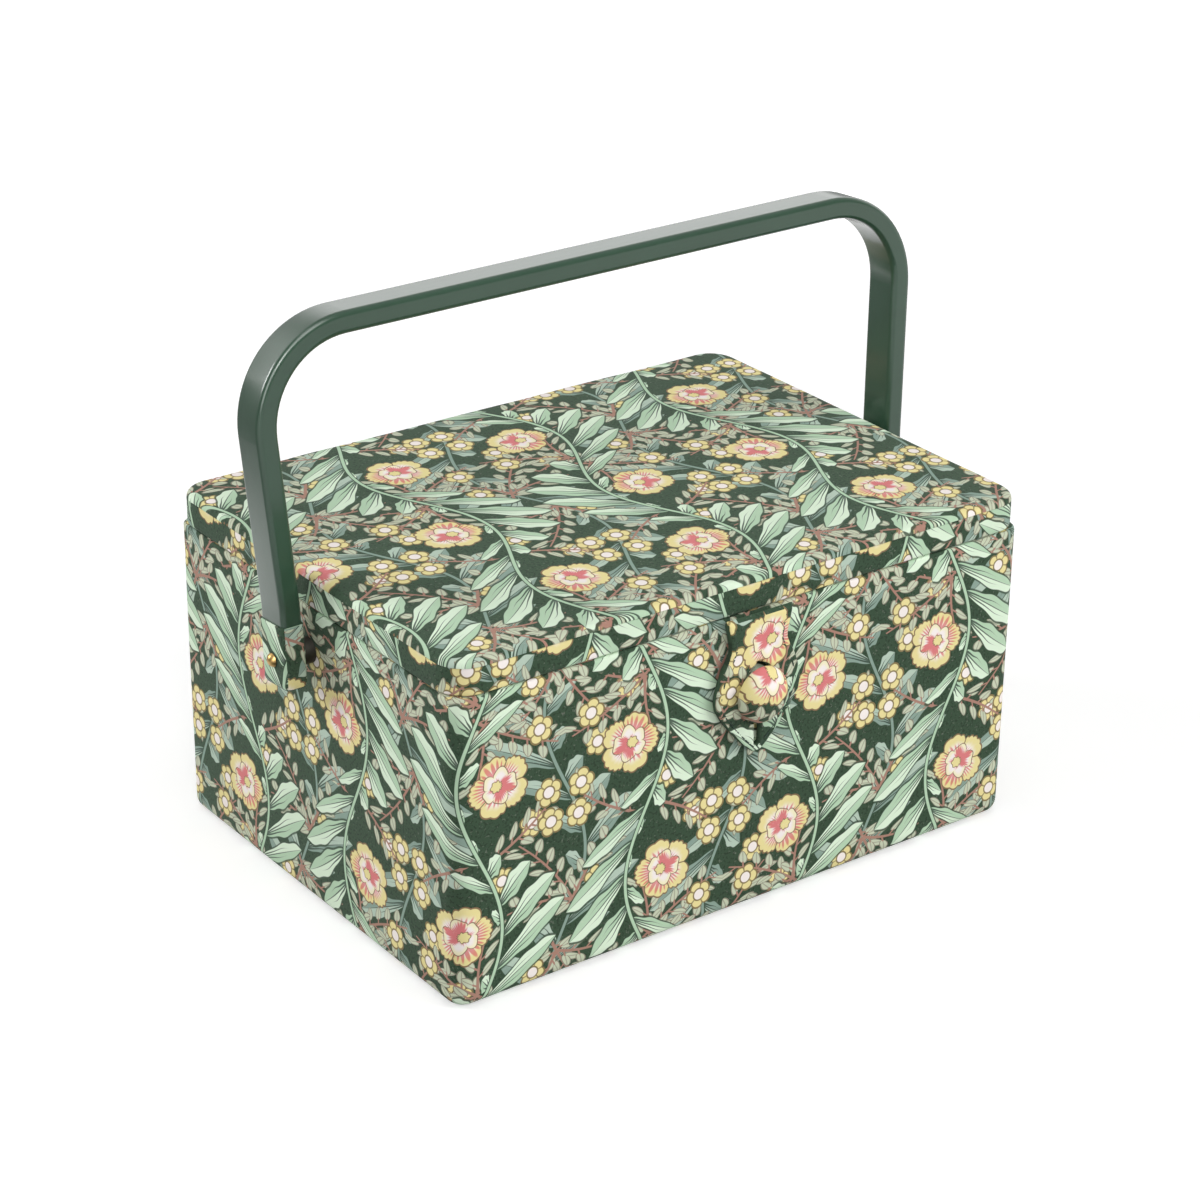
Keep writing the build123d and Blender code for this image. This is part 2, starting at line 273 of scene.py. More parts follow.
def lay_sprigs(ground, x, y, tones, sprigs):
    """Sprigs by place, turn, bend, length and where they fold, a folded one giving two side twigs."""
    for spot_x, spot_y, turn, bend, long, folded in sprigs:
        a, b = turned(x - spot_x, y - spot_y, turn)
        if folded:
            a, b = turned(absolute(a) - 0.4, b - folded, -44)
        ground = lay_sprig(ground, a, b, bend, long, tones)
    return ground


def nearest(x, y, spots):
    """The place as seen from the nearest of a few spots."""
    best_x, best_y = x - spots[0][0], y - spots[0][1]
    near = best_x * best_x + best_y * best_y
    for spot_x, spot_y in spots[1:]:
        dx, dy = x - spot_x, y - spot_y
        far = dx * dx + dy * dy
        nearer = far < near
        best_x = best_x + (dx - best_x) * nearer
        best_y = best_y + (dy - best_y) * nearer
        near = least(near, far)
    return best_x, best_y


def lay_flower(ground, x, y, radius, petals, start, tones):
    """A small round flower with a pale heart."""
    r = sqrt(x * x + y * y)
    lobe = absolute(cos((angle(y, x) + start) * (petals / 2)))
    rim = radius * 0.70 + (radius * 0.30) * power(lobe, 0.55)
    inside = rise(rim - r, *SHAPE)
    ground = mix(inside, ground, tones["yellow"])
    ground = mix(rise(radius * 0.40 - r, 0, 0.25), ground, tones["pale"])
    edge = rise(0.42 - absolute(rim - r - 0.2), *LINE)
    parting = rise(0.10 - lobe * (0.21 + 0.39 * r / radius), -0.03, 0.03) * inside * (r > radius * 0.42) * 0.8
    ring = rise(0.38 - absolute(radius * 0.42 - r), -0.05, 0.2)
    return mix(most(most(edge, parting), ring), ground, tones["yellow_line"])


def lay_bloom(ground, x, y, radius, start, tones):
    """A large open bloom: five frilled petals, five smaller ones turned between them, and a round heart."""
    r = sqrt(x * x + y * y)
    a = angle(y, x) + start
    lobe = absolute(cos(a * 2.5))
    frill = absolute(sin(a * 11 + 2 * sin(a * 3)))
    rim = radius * 0.70 + (radius * 0.22) * power(lobe, 0.55) + (radius * 0.06) * frill
    q = r / rim
    fold = absolute(sin(a * 2.5 + 0.5 * sin(a)))
    inner_rim = radius * 0.36 + (radius * 0.20) * sqrt(fold) + (radius * 0.035) * sin(a * 7 + 1)
    inner_q = r / inner_rim
    streak = absolute(sin(a * 17 + 2 * sin(a * 3)))
    blush = 0.14 * cos(a + 0.8)
    streaked = rise(streak * 1.1 - 2.8 * q + 1.2 + 3.4 * blush, 0, 0.45) * 0.78
    tone = mix(streaked, mix(rise(q, 0.50, 0.80), tones["pale"], tones["yellow"]), tones["rose"])
    streaked = rise(0.62 - inner_q + 0.20 * sin(a * 5 + 1) + 0.20 * streak - 2 * blush, 0, 0.3) * 0.9
    inner = mix(streaked, mix(rise(inner_q, 0.62, 0.9), tones["pale"], tones["cream"]), tones["rose"])
    tone = mix(rise(inner_rim - r, *SHAPE), tone, inner)
    heart_x, heart_y = x - 0.08 * radius, y + 0.05 * radius
    in_heart = radius * 0.17 + (radius * 0.02) * cos(a * 9) - sqrt(heart_x * heart_x + heart_y * heart_y)
    tone = mix(rise(in_heart, *SHAPE), tone, tones["yellow"])
    ground = mix(rise(rim - r, *SHAPE), ground, tone)
    lines = most(rise(0.38 - absolute(rim - r - 0.2), *LINE), rise(0.26 - absolute(inner_rim - r), *LINE))
    lines = most(lines, rise(0.24 - absolute(in_heart), *LINE))
    parting = rise(0.30 - lobe * r * 0.40, *LINE) * (r > inner_rim) * (q < 1)
    return mix(most(lines, parting), ground, tones["bloom_line"])


def print_colour(f, u, v, tones):
    """The whole print at a place on the cloth: grey-green vines behind, mint ones and blooms in front."""
    flat = f.node("ShaderNodeCombineXYZ", sockets={0: u, 1: v})
    specks = f.node("ShaderNodeTexNoise", {"noise_dimensions": "2D"},
                    {"Vector": flat, "Scale": 0.9, "Detail": 1.0})
    ground = mix(rise(specks, 0.56, 0.64) * 0.75, tones["ground"], tones["ground_dark"])
    at, x, y = row_of_bends(u, v, 36.0, 21.0)
    ground = lay_vine(ground, at, "grey", tones,
                      gap=BEND / 8, reach=27.0, half_width=4.0, slant=0.85, uneven=0.34)
    ground = lay_sprigs(ground, x, y, tones, ((6, -25, 22, -10, 40, 0), (6, -25, 22, 8, 26, 6)))
    ground = lay_flower(ground, *nearest(x, y, ((-14, 17), (-27, -2), (14, -14))),
                        radius=5.6, petals=6, start=0.3, tones=tones)
    at, x, y = row_of_bends(u, v, 0.0, 0.0)
    ground = lay_sprigs(ground, x, y, tones, (
        (3, -28, 50, -8, 38, 0), (3, -28, 50, 8, 26, 6), (-4, 30, 112, -7, 34, 0)))
    ground = lay_vine(ground, at, "mint", tones,
                      gap=BEND / 9, reach=27.2, half_width=3.95, slant=0.95, uneven=0.48)
    ground = lay_flower(ground, *nearest(x, y, ((-29, 10), (-25, -16), (-30, 22))),
                        radius=5.8, petals=5, start=0.1, tones=tones)
    a, b = turned(x + 8, y - 1, 25)
    return lay_bloom(ground, a, b * 1.08, radius=13.6, start=0.4, tones=tones)


# Finishes


def weave(u, v, pitch):
    """The over and under of plain woven threads, from 0 to 1."""
    k = PI / pitch
    return absolute(sin(u * k)) * 0.5 + absolute(sin(v * k)) * 0.5


def print_cloth(tones):
    f = Finish("printed cotton")
    u, v = f.cloth_place()
    threads = weave(u, v, pitch=0.55)
    spots = f.noise(f.place(), 900)
    fade = f.noise(f.place(), 22, 3)
    ink = print_colour(f, u, v, tones)
    ink = mix(rise(spots, 0.60, 0.80) * 0.13, ink, colour("#f2efe2"))
    ink = mix(rise(fade, 0.45, 0.75) * 0.04, ink, colour("#20302a"))
    return f.surface(Base_Color=ink, Roughness=0.86 - 0.08 * threads,
                     Normal=f.bump(threads * 0.7 + spots * 0.6, 0.0001, 0.6),
                     Specular_IOR_Level=0.25, Sheen_Weight=0.04, Sheen_Roughness=0.5)


def plain_cloth(name, card, dark, pitch, roughness, sheen):
    """A one-colour woven cloth with slubs and a slight unevenness of dye."""
    f = Finish(name)
    place = f.place()
    threads = weave(*f.cloth_place(), pitch)
    slubs = f.noise(place, 260, stretch=(1, 1, 6))
    dye = f.noise(place, 30, 3)
    # Darker where the woven threads dip between one another: painted shade in the weave
    shade = mix(0.62 + threads * 0.3, dark, card)
    shade = mix(rise(dye, 0.35, 0.7) * 0.15, shade, dark)
    shade = mix(rise(slubs, 0.6, 0.8) * 0.10, shade, grey(1.0))
    return f.surface(Base_Color=shade, Roughness=roughness - 0.1 * threads,
                     Normal=f.bump(threads * 0.7 + slubs * 0.5, 0.00012),
                     Sheen_Weight=sheen, Sheen_Roughness=0.4)


def felt(name, card, dark):
    f = Finish(name)
    place = f.place()
    fibres = f.noise(place, 700, 4, 0.7)
    clumps = f.noise(place, 120, 3)
    shade = mix(rise(fibres * 0.6 + clumps * 0.4, 0.35, 0.68), dark, card)
    return f.surface(Base_Color=shade, Roughness=0.95, Normal=f.bump(fibres, 0.0004, 0.8),
                     Sheen_Weight=0.3, Sheen_Roughness=0.6)


def board(name, card, dark):
    """Greyboard with its short fibres and specks."""
    f = Finish(name)
    place = f.place()
    fibres = f.noise(place, 180, 5, 0.7, stretch=(1, 3, 1))
    specks = f.noise(place, 900)
    shade = mix(rise(fibres, 0.3, 0.7), dark, card)
    shade = mix(rise(specks, 0.66, 0.76) * 0.5, shade, dark)
    return f.surface(Base_Color=shade, Roughness=0.9, Normal=f.bump(fibres + specks * 0.4, 0.0002, 0.7))


def painted_wood(name, card, light):
    """Satin paint over a slightly crowned bar of wood, with faint grain, peel and cloudiness."""
    f = Finish(name)
    place = f.place()
    grain = f.noise(place, 90, 4, 0.6, stretch=(0.12, 1, 1))
    peel = f.noise(place, 420)
    cloudy = f.noise(place, 14, 3)
    shade = mix(rise(cloudy, 0.35, 0.7) * 0.35, card, light)
    shade = mix(rise(grain, 0.55, 0.75) * 0.15, shade, colour("#1b2c22"))
    across = f.apart(place)[1]
    crown = across * across * -12
    return f.surface(Base_Color=shade, Roughness=0.38 + 0.12 * cloudy + 0.08 * grain,
                     Specular_IOR_Level=0.3, Coat_Weight=0.9, Coat_Roughness=0.17,
                     Normal=f.bump(crown + grain * 0.00004 + peel * 0.00003, 1.0))


def metal(name, card, dark, rough):
    f = Finish(name)
    place = f.place()
    marks = f.noise(place, 300, 4, 0.6, stretch=(1, 1, 8))
    tarnish = f.noise(place, 260, 3)
    shade = mix(rise(tarnish, 0.45, 0.75) * 0.4, card, dark)
    return f.surface(Base_Color=shade, Metallic=1.0, Roughness=rough + 0.14 * marks + 0.10 * tarnish,
                     Normal=f.bump(marks, 0.00005, 0.5))


def moulded_plastic(name, card):
    f = Finish(name)
    place = f.place()
    skin = f.noise(place, 1400)
    cloudy = f.noise(place, 20)
    shade = mix(rise(cloudy, 0.3, 0.7) * 0.10, card, colour("#c9c6b8"))
    return f.surface(Base_Color=shade, Roughness=0.42 + 0.10 * skin, IOR=1.46,
                     Normal=f.bump(skin, 0.00006, 0.6))


def wadding_finish(name):
    f = Finish(name)
    fluff = f.noise(f.place(), 500, 5, 0.75)
    shade = mix(rise(fluff, 0.3, 0.7), colour("#d9d8d2"), colour("#f4f3ee"))
    return f.surface(Base_Color=shade, Roughness=1.0, Normal=f.bump(fluff, 0.0006))


def thread_finish(name, card):
    f = Finish(name)
    twist = f.noise(f.place(), 2400)
    shade = mix(rise(twist, 0.4, 0.6) * 0.5, card, colour("#1d2b24"))
    return f.surface(Base_Color=shade, Roughness=0.6, Normal=f.bump(twist, 0.0001))


# Sizes and colours that a user may change


def length(name, description, default):
    return bpy.props.FloatProperty(name=name, description=description, default=default, unit="LENGTH")


def card_colour(name, description, text):
    return bpy.props.FloatVectorProperty(
        name=name, description=description, default=colour(text), size=4, min=0, max=1, subtype="COLOR")


class SewingBoxSizes(bpy.types.PropertyGroup):
    cloth: length("Cloth", "Thickness of the printed cotton with its backing", 0.001)
    fullness: length("Fullness", "How far the wadding swells the lid's top", 0.0009)
    unevenness: length("Unevenness", "Waves of the cloth over the boards", 0.0005)
    groove: length("Groove", "Depth of the crease round the lid's top", 0.0006)
    stitch: length("Stitch", "Length of one stitch", 0.0022)
    gathers: bpy.props.IntProperty(
        name="Gathers", description="Gathers across the pocket", default=13, min=1)


class SewingBoxColours(bpy.types.PropertyGroup):
    ground: card_colour("Ground", "The print's dark green ground", "#384d3a")
    ground_dark: card_colour("Ground specks", "Specks in the ground", "#29372a")
    mint: card_colour("Mint", "Shaded half of the front leaves", "#bad6b8")
    mint_light: card_colour("Light mint", "Light half of the front leaves", "#e1f3db")
    mint_line: card_colour("Mint lines", "Lines in the front leaves", "#31453a")
    grey: card_colour("Grey green", "Shaded half of the leaves behind", "#8ca396")
    grey_light: card_colour("Light grey green", "Light half of the leaves behind", "#b9ccbc")
    grey_line: card_colour("Grey lines", "Lines in the leaves behind", "#33463a")
    twig: card_colour("Twig", "The sprigs' stems", "#ad8474")
    bud: card_colour("Bud", "The sprigs' small leaves", "#cad1b8")
    bud_line: card_colour("Bud lines", "Outline of the sprigs' leaves", "#6f5d4e")
    yellow: card_colour("Yellow", "Petals", "#ecdf9f")
    yellow_line: card_colour("Yellow lines", "Outline of the small flowers", "#8a7850")
    pale: card_colour("Pale pink", "Hearts and inner petals", "#faf1ed")
    cream: card_colour("Cream", "Inner petals of the blooms", "#f7efcc")
    rose: card_colour("Rose", "Streaks of the blooms", "#d9686c")
    bloom_line: card_colour("Bloom lines", "Outline of the blooms", "#8a6f52")
    paint: card_colour("Paint", "The handle's paint", "#1f3e2b")
    paint_light: card_colour("Light paint", "Paler clouds in the paint", "#294a38")
    lining: card_colour("Lining", "The lining's sateen", "#aebba0")
    cushion: card_colour("Cushion", "The pincushion's sateen", "#4f6f5a")
    tray: card_colour("Tray", "The tray's plastic", "#e9e7dc")

    def tones(self):
        return {name: tuple(getattr(self, name)) for name in self.__annotations__}


finishes = {}


def finish(name):
    """The material of that name, made when it is first asked for."""
    if name not in finishes:
        card = bpy.context.scene.sewing_box_colours.tones()
        maker, *details = {
            "print": (print_cloth, card),
            "lining": (plain_cloth, "lining sateen", card["lining"], colour("#93a287"), 0.4, 0.55, 0.3),
            "cushion": (plain_cloth, "cushion sateen", card["cushion"], colour("#3c5946"), 0.4, 0.5, 0.4),
            "elastic": (plain_cloth, "elastic", colour("#c2ccb4"), colour("#8e9c82"), 0.8, 0.7, 0.1),
            "felt": (felt, "base felt", colour("#2c3a31"), colour("#1c2620")),
            "board": (board, "greyboard", colour("#b09a7c"), colour("#8c7758")),
            "paint": (painted_wood, "satin green paint", card["paint"], card["paint_light"]),
            "brass": (metal, "brass", colour("#b0915c"), colour("#6e5633"), 0.24),
            "steel": (metal, "plated steel", colour("#c9c9c6"), colour("#8f8f8c"), 0.28),
            # The spacers' steel is made dark: painted shade in the gap between each ear and the wall
            "shade-dark steel": (metal, "blackened steel", colour("#45433e"), colour("#2b2a27"), 0.42),
            "tray": (moulded_plastic, "moulded tray", card["tray"]),
            "wadding": (wadding_finish, "wadding"),
            "thread": (thread_finish, "green thread", colour("#33473c")),
        }[name]
        finishes[name] = maker(*details)
    return finishes[name]


# Modelling by hand


def only(*pieces):
    """Nothing but these is selected, and the first is the active one."""
    bpy.ops.object.select_all(action="DESELECT")
    for piece in pieces:
        piece.select_set(True)
    bpy.context.view_layer.objects.active = pieces[0]


def start(name, add, **settings):
    """Adds something with all else deselected, and names it."""
    bpy.ops.object.select_all(action="DESELECT")
    add(**settings)
    made = bpy.context.object
    made.name = made.data.name = name
    return made


def block(name, low, high):
    """A block to start from, between two corners in millimetres."""
    piece = start(name, bpy.ops.mesh.primitive_cube_add, size=1,
                  location=[(a + b) / 2 * MM for a, b in zip(low, high)])
    bpy.ops.transform.resize(value=[(b - a) * MM for a, b in zip(low, high)])
    bpy.ops.object.transform_apply(location=True, rotation=True, scale=True)
    return piece


def grid(name, across, along):
    """A flat grid to start from, one wide and one long."""
    return start(name, bpy.ops.mesh.primitive_grid_add, x_subdivisions=across, y_subdivisions=along, size=1)


def span(node):
    """A node's lowest and highest corners, in millimetres."""
    return tuple([c / MM for c in corner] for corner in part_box(node))


def work(piece):
    """Takes a piece in hand, to edit it until it is done."""
    only(piece)
    bpy.ops.object.mode_set(mode="EDIT")


def done():
    bpy.ops.object.mode_set(mode="OBJECT")


def pick(kind, wanted):
    """Selects the edges or faces with all their corners, in millimetres, where they are wanted."""
    bpy.ops.mesh.select_mode(type=kind)
    piece = bpy.context.edit_object.data
    mesh = bmesh.from_edit_mesh(piece)
    for parts in (mesh.verts, mesh.edges, mesh.faces):
        for part in parts:
            part.select = False
    for part in {"EDGE": mesh.edges, "FACE": mesh.faces}[kind]:
        if wanted([v.co / MM for v in part.verts]):
            part.select = True
    mesh.select_flush_mode()
    bmesh.update_edit_mesh(piece)


def level(z, axis=2):
    return lambda corners: all(abs(c[axis] - z) < NEAR for c in corners)


def within(half_x, half_y, z):
    """At a height, and inside a rectangle."""
    return lambda corners: level(z)(corners) and all(abs(c.x) < half_x and abs(c.y) < half_y for c in corners)


def upright(corners):
    a, b = corners
    return abs(a.x - b.x) < NEAR and abs(a.y - b.y) < NEAR


def round_off(wanted, width, segments):
    pick("EDGE", wanted)
    bpy.ops.mesh.bevel(offset=width * MM, segments=segments, affect="EDGES", clamp_overlap=False)


def remove(wanted):
    pick("FACE", wanted)
    bpy.ops.mesh.delete(type="FACE")


def turn_in(wanted, width, up=0.0):
    """Turns the cloth in over a face, then on along a wall where up is given, and opens what is left."""
    pick("FACE", wanted)
    bpy.ops.mesh.inset(thickness=width * MM)
    if up:
        bpy.ops.mesh.extrude_region_move(TRANSFORM_OT_translate={"value": (0, 0, up * MM)})
    bpy.ops.mesh.delete(type="FACE")


def turn_over():
    bpy.ops.mesh.select_all(action="SELECT")
    bpy.ops.mesh.flip_normals()


def slice_up(axis, places):
    """Cuts the whole piece across at these places along an axis, in millimetres."""
    for place in places:
        bpy.ops.mesh.select_all(action="SELECT")
        point, normal = [0, 0, 0], [0, 0, 0]
        point[axis], normal[axis] = place * MM, 1
        bpy.ops.mesh.bisect(plane_co=point, plane_no=normal)


def steps(low, high, gap):
    count = max(int(round((high - low) / gap)), 1)
    return [low + (high - low) * k / count for k in range(1, count)]


def dice(low, high, *gaps):
    """Cuts the piece up along each axis that has a gap."""
    for axis, gap in enumerate(gaps):
        slice_up(axis, steps(low[axis], high[axis], gap))


def slab(name, node, edge, gaps, corner=None, up=False, levels=()):
    """A block in a node's place, cut up for shaping; what is rounded is given as width and segments."""
    low, high = span(node)
    piece = block(name, low, high)
    work(piece)
    if corner:
        round_off(upright, *corner)
    round_off(level((high if up else low)[2]), *edge)
    dice(low, high, *gaps)
    slice_up(2, levels)
    done()
    return piece, low, high


def apply(piece, kind, **settings):
    """Adds a modifier and applies it."""
    only(piece)
    made = piece.modifiers.new(kind, kind)
    for key, value in settings.items():
        setattr(made, key, value)
    bpy.ops.object.modifier_apply(modifier=made.name)


def waves(piece, height, size, share):
    """Faint unevenness of cloth over board: share says how much of it a place gets."""
    group = piece.vertex_groups.new(name="waves")
    for vertex in piece.data.vertices:
        group.add([vertex.index], max(0.0, min(1.0, share(vertex.co / MM))), "REPLACE")
    texture = bpy.data.textures.new(piece.name + " waves", "CLOUDS")
    texture.noise_scale = size * MM
    apply(piece, "DISPLACE", texture=texture, texture_coords="LOCAL", strength=height * MM,
          mid_level=0.5, vertex_group="waves")
    piece.vertex_groups.clear()
    bpy.data.textures.remove(texture)


def shape(piece, moved):
    """Moves each point: moved takes its place and gives the new one, in millimetres."""
    for vertex in piece.data.vertices:
        vertex.co = Vector(moved(vertex.co / MM)) * MM
    piece.data.update()


def thicken(piece, thickness, offset=-1):
    apply(piece, "SOLIDIFY", thickness=thickness * MM, offset=offset, use_even_offset=True)


def outward(piece):
    """Merges doubles and turns every face outwards."""
    work(piece)
    bpy.ops.mesh.select_all(action="SELECT")
    bpy.ops.mesh.remove_doubles(threshold=NEAR * MM)
    bpy.ops.mesh.normals_make_consistent(inside=False)
    if bmesh.from_edit_mesh(piece.data).calc_volume(signed=True) < 0:
        bpy.ops.mesh.flip_normals()
    done()


def lay_on_cloth(piece, place=lambda point, normal: (point.x, point.y), around=0):
    """The cloth map: place says where on the cloth, in millimetres, a point of a face lies."""
    while piece.data.uv_layers:
        piece.data.uv_layers.remove(piece.data.uv_layers[0])
    cloth = piece.data.uv_layers.new(name="Cloth")
    for face in piece.data.polygons:
        middle = place(face.center / MM, face.normal)
        for loop in face.loop_indices:
            u, v = place(piece.data.vertices[piece.data.loops[loop].vertex_index].co / MM, face.normal)
            if around:
                u += round((middle[0] - u) / around) * around
            cloth.data[loop].uv = (u * MM, v * MM)


def along_sides(x, y, half_x, half_y, radius):
    """How far along a rounded outline a place lies, from the middle of the back, and how far inside it."""
    side_x, side_y = half_x - radius, half_y - radius
    cx, cy = min(max(x, -side_x), side_x), min(max(y, -side_y), side_y)
    dx, dy = x - cx, y - cy
    inside = radius - math.hypot(dx, dy)
    if math.hypot(dx, dy) < 0.001:
        if half_x - abs(x) < half_y - abs(y):
            dx, inside = math.copysign(1, x), half_x - abs(x)
        else:
            dy, inside = math.copysign(1, y), half_y - abs(y)
    turn = math.degrees(math.atan2(dy, dx)) % 360
    if turn < 90 - 0.001:
        turn += 360
    if turn <= 135 and x > 0:
        turn = 450
    passed = math.ceil((turn - 45) / 90) - 1
    straight = passed * (side_x + side_y) + (-cx, -cy, cx, cy, -cx)[passed]
    return PI * radius / 2 * (turn - 90) / 90 + straight, inside


def girth(half_x, half_y, radius):
    return 4 * (half_x + half_y - 2 * radius) + 2 * PI * radius


def dress(piece, material):
    piece.data.materials.clear()
    piece.data.materials.append(material)


def fit(piece, material, body, node=None, degrees=40):
    """Smooths and dresses a piece, says what it rides on, and hides the node it stands for."""
    only(piece)
    bpy.ops.object.shade_smooth_by_angle(angle=math.radians(degrees))
    dress(piece, finish(material))
    if body:
        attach(piece, body)
    if node:
        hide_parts(node)


class SewingBoxStep:
    """What the operators share."""

    bl_options = {"REGISTER", "UNDO"}


class SEWINGBOX_OT_cover_body(SewingBoxStep, bpy.types.Operator):
    """Printed cotton round the body, turned in over the rim and under the base"""

    bl_idname = "sewing_box.cover_body"
    bl_label = "Cover the body"

    def execute(self, context):
        sizes = context.scene.sewing_box_sizes
        low, high = span("body_cover")
        half_x, half_y, top = high
        corner, foot, edge, rim = 7.5, 5.4, 1.2, 5.5
        hem_x, hem_y, outer_x, outer_y = 104.6, 69.6, 115, 80
        piece = block("body_cloth", (low[0], low[1], 0), high)
        work(piece)
        round_off(upright, corner, 8)
        round_off(level(0), foot, 6)
        round_off(level(top), edge, 3)
        turn_in(level(top), rim - edge)
        slice_up(0, [-hem_x, hem_x] + steps(-hem_x, hem_x, 10) + [-outer_x, outer_x])
        slice_up(1, [-hem_y, hem_y] + steps(-hem_y, hem_y, 10) + [-outer_y, outer_y])
        slice_up(2, steps(foot, top - edge, 9.5))
        remove(within(hem_x + NEAR, hem_y + NEAR, 0))
        done()
        waves(piece, sizes.unevenness / MM, 45, lambda c: min((c.z - 1) / 12, (top - c.z) / 6))
        thicken(piece, sizes.cloth / MM)

        def place(point, normal):
            along, inside = along_sides(point.x, point.y, half_x, half_y, corner)
            folded = inside if point.z > top / 2 else -inside
            return along, point.z + (folded if abs(inside) > 0.9 else 0)

        lay_on_cloth(piece, place, girth(half_x, half_y, corner))
        fit(piece, "print", "base", "body_cover")
        return {"FINISHED"}


class SEWINGBOX_OT_cover_lid(SewingBoxStep, bpy.types.Operator):
    """The lid's padded top cloth, the band round its rim and the wadding under it"""

    bl_idname = "sewing_box.cover_lid"
    bl_label = "Cover the lid"

    def execute(self, context):
        sizes = context.scene.sewing_box_sizes
        low, high = span("lid_cover")
        half_x, half_y, top, bottom = *high, low[2]
        corner, crease, rim, edge = 12.0, 134.1, 5.5, 1.2
        depth, fullness = sizes.groove / MM, sizes.fullness / MM

        def tuck(wanted, up):
            """Draws an edge into the crease."""
            pick("EDGE", wanted)
            bpy.ops.mesh.extrude_edges_move(TRANSFORM_OT_translate={"value": (0, 0, up * MM)})
            bpy.ops.transform.resize(value=((half_x - depth) / half_x, (half_y - depth) / half_y, 1),
                                     center_override=(0, 0, crease * MM))

        def under_crease(corners):
            return all(c.z < crease + NEAR for c in corners)

        cover = block("lid_top_cloth", (low[0], low[1], crease - 4.1), high)
        work(cover)
        round_off(upright, corner, 10)
        round_off(level(top), 2.4, 6)
        remove(under_crease)
        dice(low, high, 8, 8)
        tuck(under_crease, -0.25)
        done()

        def swell(c):
            if c.z < top - 1.2:
                return c
            share = (1 - min(abs(c.x) / half_x, 1) ** 8) * (1 - min(abs(c.y) / half_y, 1) ** 8)
            return c.x, c.y, c.z + fullness * share

        shape(cover, swell)
        waves(cover, sizes.unevenness / MM * 1.3, 38, lambda c: (c.z - top + 2.2) / 2.4)
        thicken(cover, sizes.cloth / MM)
        lay_on_cloth(cover, lambda point, normal: (point.x + 171, point.y + 322))
        fit(cover, "print", "lid", "lid_cover")

        band = block("lid_band_cloth", low, (half_x, half_y, crease - 0.25))
        work(band)
        round_off(upright, corner, 10)
        remove(level(crease - 0.25))
        round_off(level(bottom), edge, 3)
        turn_in(level(bottom), rim - edge, 5.2)
        round_off(within(half_x - 5.4, half_y - 5.4, bottom), 0.8, 3)
        tuck(level(crease - 0.25), 0.2)
        dice(low, high, 8, 8)
        slice_up(2, [127, 130.5])
        done()
        waves(band, sizes.unevenness / MM, 34,
              lambda c: min((c.z - bottom - 1) / 3, (crease - c.z - 0.4) / 3))
        thicken(band, sizes.cloth / MM)

        def place(point, normal):
            along, inside = along_sides(point.x, point.y, half_x, half_y, corner)
            folded = inside if abs(inside) > 0.9 else 0
            up = point.z if folded < 4 else 2 * bottom - point.z
            return along + 37, up - folded + 60

        lay_on_cloth(band, place, girth(half_x, half_y, corner))
        fit(band, "print", "lid", "lid_cover")

        pad, low, high = slab("lid_padding", "lid_wadding",
                              corner=(11, 6), edge=(1.4, 3), up=True, gaps=(16, 16))
        waves(pad, 0.35, 12, lambda c: c.z > low[2] + 1)
        fit(pad, "wadding", "lid", "lid_wadding", 50)

        return {"FINISHED"}


class SEWINGBOX_OT_hinge(SewingBoxStep, bpy.types.Operator):
    """The strip of cloth over the back of the seam, which is the lid's hinge"""

    bl_idname = "sewing_box.hinge"
    bl_label = "Sew the hinge"

    def execute(self, context):
        low, high = span("hinge_cloth")
        piece = block("hinge_strip", low, high)
        work(piece)
        round_off(level(high[1], axis=1), 0.25, 2)
        dice(low, high, 9)
        # Close together at the seam, where the strip bends
        slice_up(2, [112, 115, 118, 120] + steps(121, 125.5, 0.5) + [127, 130, 132])
        done()

        def bulge(c):
            seam = math.exp(-((c.z - SEAM) / 1.6) ** 2)
            if c.y < low[1] + 0.1:
                return c
            return c.x, c.y + 0.25 * seam * (1 + 0.4 * math.sin(c.x * 0.23) * math.sin(c.x * 0.071)), c.z

        shape(piece, bulge)
        lay_on_cloth(piece, lambda point, normal: (point.x + 90, point.z - 22))
        fit(piece, "print", None, "hinge_cloth")
        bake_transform(piece)
        return {"FINISHED"}


def loop_outer(z):
    """Half the closure loop's width at a height."""
    for (z1, w1), (z2, w2) in zip(LOOP_OUTLINE, LOOP_OUTLINE[1:]):
        if z >= z2:
            return w1 + (w2 - w1) * max(0.0, min(1.0, (z1 - z) / (z1 - z2)))
    return LOOP_OUTLINE[-1][1]


def loop_inner(z):
    """Half the width of the loop's eye, and of the slit below it."""
    if z >= EYE_TOP or z <= SLIT_LOW:
        return 0.0
    if z >= EYE_WIDE:
        s = (z - EYE_WIDE) / (EYE_TOP - EYE_WIDE)
        return EYE * math.sqrt(max(0.0, 1 - s * s))
    if z > EYE_LOW:
        s = (z - EYE_LOW) / (EYE_WIDE - EYE_LOW)
        return SLIT + (EYE - SLIT) * math.sqrt(max(0.0, 1 - (1 - s) ** 2))
    return SLIT * math.sqrt(min(1.0, (z - SLIT_LOW) / 0.6))


